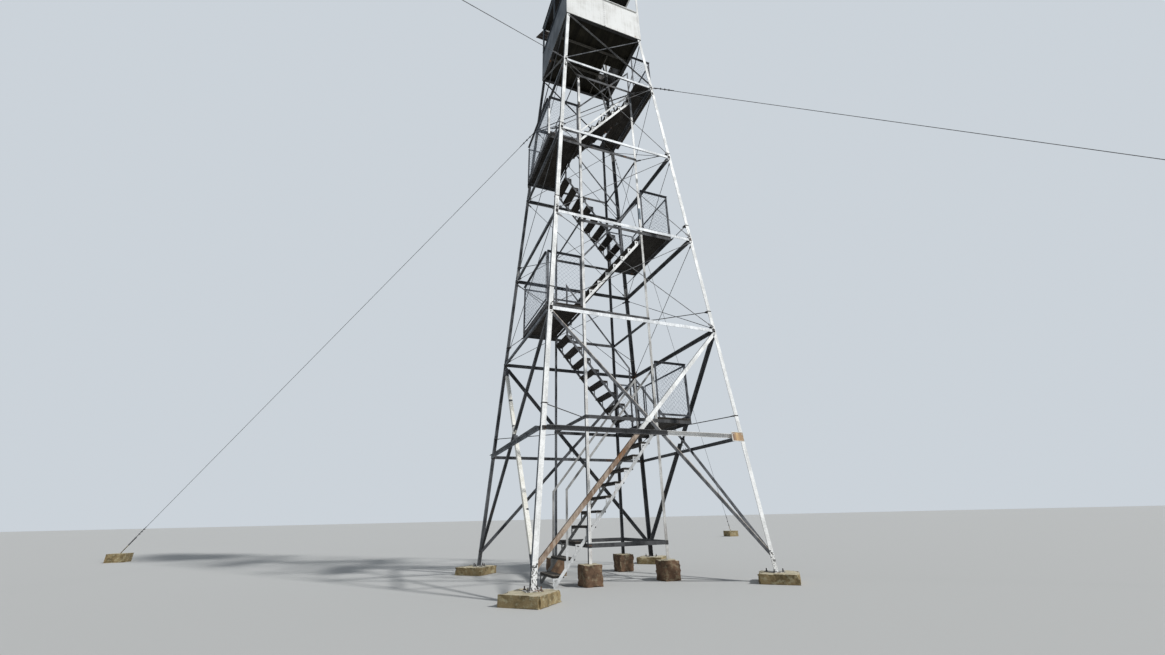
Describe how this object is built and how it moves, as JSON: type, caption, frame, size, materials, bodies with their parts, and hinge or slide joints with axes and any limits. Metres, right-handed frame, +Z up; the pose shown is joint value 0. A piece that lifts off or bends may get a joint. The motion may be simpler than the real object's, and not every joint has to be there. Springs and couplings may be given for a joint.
{
  "type": "fire lookout tower",
  "caption": "Guyed steel lookout tower on leaning angle legs with an inner stair tower, plank landings and a square sheet-metal cab with open windows.",
  "frame": {"origin": "on the ground at the centre of the tower's square plan, level with the undersides of the piers", "axes": "+Z up, +X along the front face to the right, +Y from the front face to the back"},
  "size_m": [24.9, 24.9, 15.8989],
  "materials": {
    "galvanised_steel": "weathered galvanised steel, bright in the sun",
    "rail_steel": "grey galvanised railing angle",
    "dark_steel": "dull grey galvanised steel",
    "stair_flight": "galvanised side bars with weathered plank treads",
    "weathered_wood": "dark weathered planks",
    "shutter_wood": "brown stained boards with a grey-green steel edge",
    "lichen_concrete": "tan concrete with lichen",
    "stained_sheet": "chalky white sheet with rust runs",
    "cab_steel": "white painted cab angles",
    "roof_sheet": "grey roof sheet",
    "guy_steel": "dark wire rope and bands",
    "bare_sign": "faded yellow plate, bare"
  },
  "bodies": {
    "root": {"piers": "lichen_concrete", "leg_shoes": "galvanised_steel", "legs": "galvanised_steel", "struts_front": "galvanised_steel", "struts_right": "galvanised_steel", "struts_back": "galvanised_steel", "struts_left": "galvanised_steel", "braces_front": "galvanised_steel", "braces_right": "galvanised_steel", "braces_back": "galvanised_steel", "braces_left": "galvanised_steel", "stair_posts": "galvanised_steel", "stair_rings": "dark_steel", "stair_ties": "galvanised_steel", "landing_1": "weathered_wood", "landing_2": "weathered_wood", "landing_3": "weathered_wood", "landing_4": "weathered_wood", "landing_5": "weathered_wood", "railing_1": "rail_steel", "railing_2": "rail_steel", "railing_3": "rail_steel", "railing_4": "rail_steel", "railing_5": "rail_steel", "flight_1": "stair_flight", "flight_2": "stair_flight", "flight_3": "stair_flight", "flight_4": "stair_flight", "flight_5": "stair_flight", "flight_6": "galvanised_steel", "cab_frame": "dark_steel", "cab_floor": "weathered_wood", "cab_wall_front": "stained_sheet", "cab_wall_right": "stained_sheet", "cab_wall_back": "stained_sheet", "cab_wall_left": "stained_sheet", "cab_corners": "cab_steel", "window_frames": "cab_steel", "shutter": "shutter_wood", "roof": "roof_sheet", "roof_cap": "roof_sheet", "guy_wires": "guy_steel", "guy_bands": "guy_steel", "guy_anchors": "lichen_concrete", "sign_plate": "bare_sign"}
  },
  "joints": []
}
